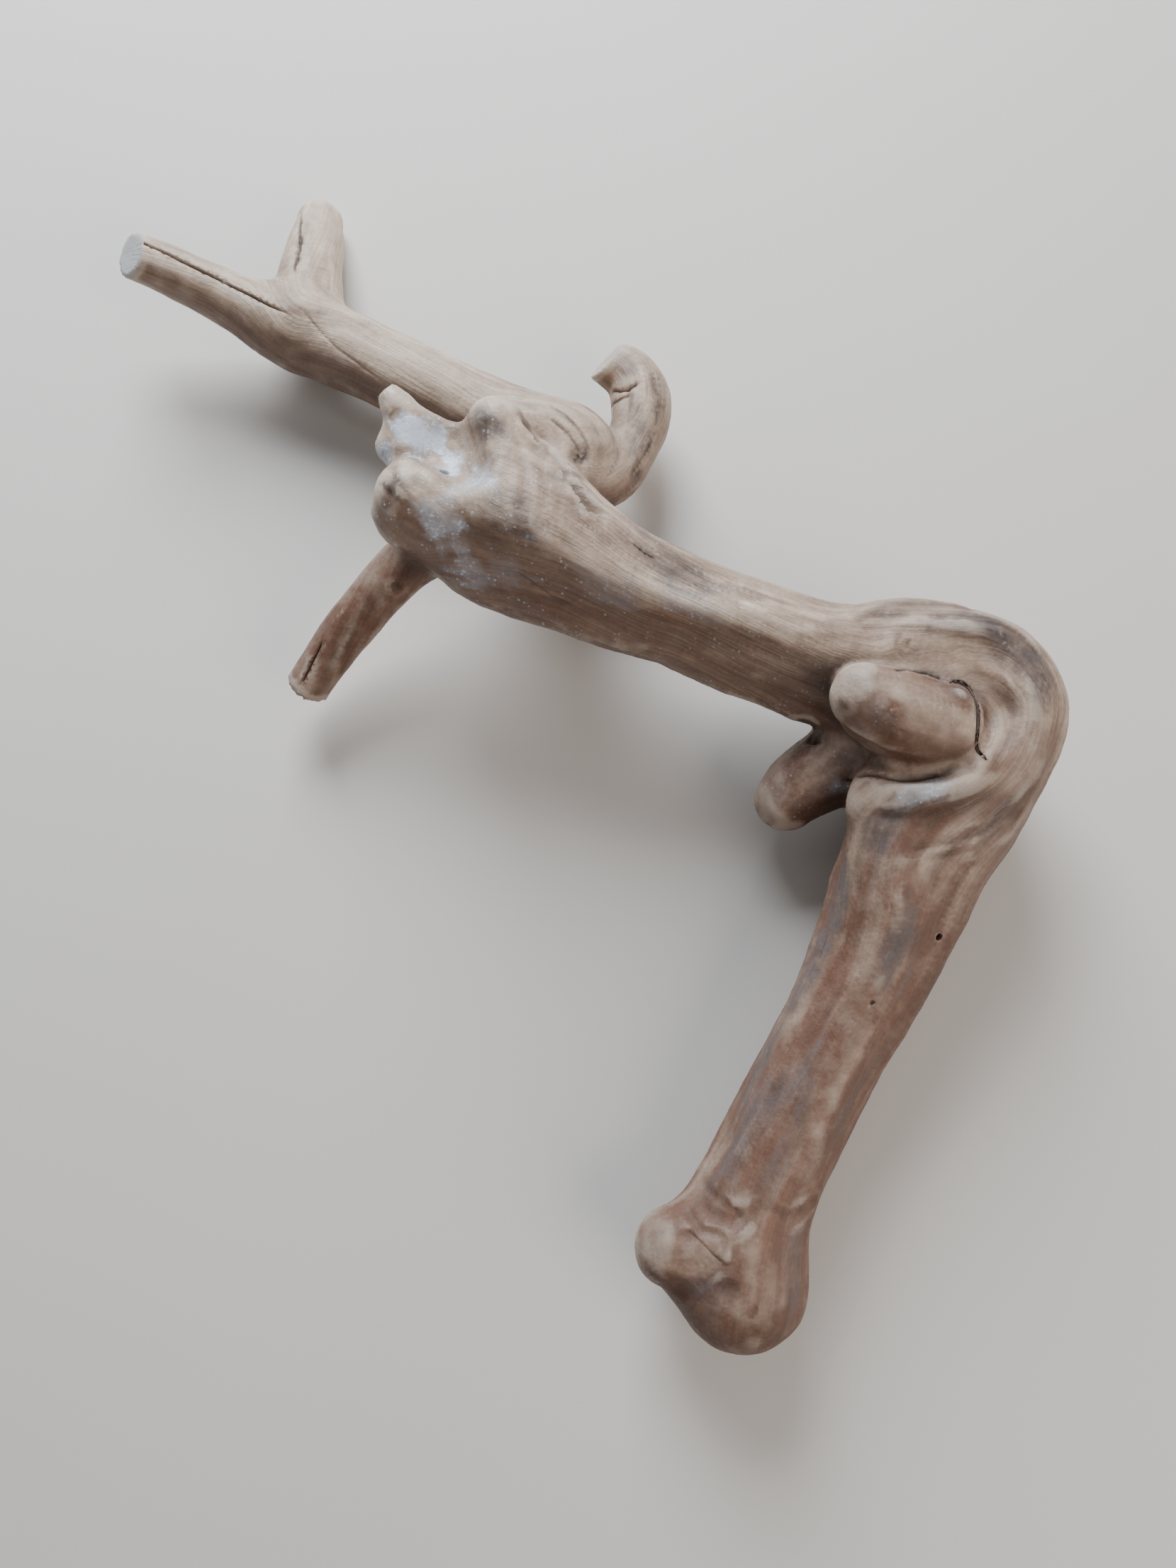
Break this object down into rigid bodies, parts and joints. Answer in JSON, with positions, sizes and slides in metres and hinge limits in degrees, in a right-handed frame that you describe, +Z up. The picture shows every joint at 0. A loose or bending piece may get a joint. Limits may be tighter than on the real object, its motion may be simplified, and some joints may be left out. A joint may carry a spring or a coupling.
{
  "type": "dry root",
  "caption": "Dry weathered root with a bulbed leg, a burled elbow, an arm ending in a horned head, and thin sawn branches behind it",
  "frame": {"origin": "On the surface that the root lies on, under the middle of its outline", "axes": "+Z up from the surface, +Y from the bulb end to the thin branches, +X to the elbow's side"},
  "size_m": [0.5902, 0.749, 0.143],
  "materials": {
    "dry_wood": "bare weathered wood with a slight waxy gloss on the worn faces"
  },
  "bodies": {
    "root": {"dry_root": "dry_wood"}
  },
  "joints": []
}
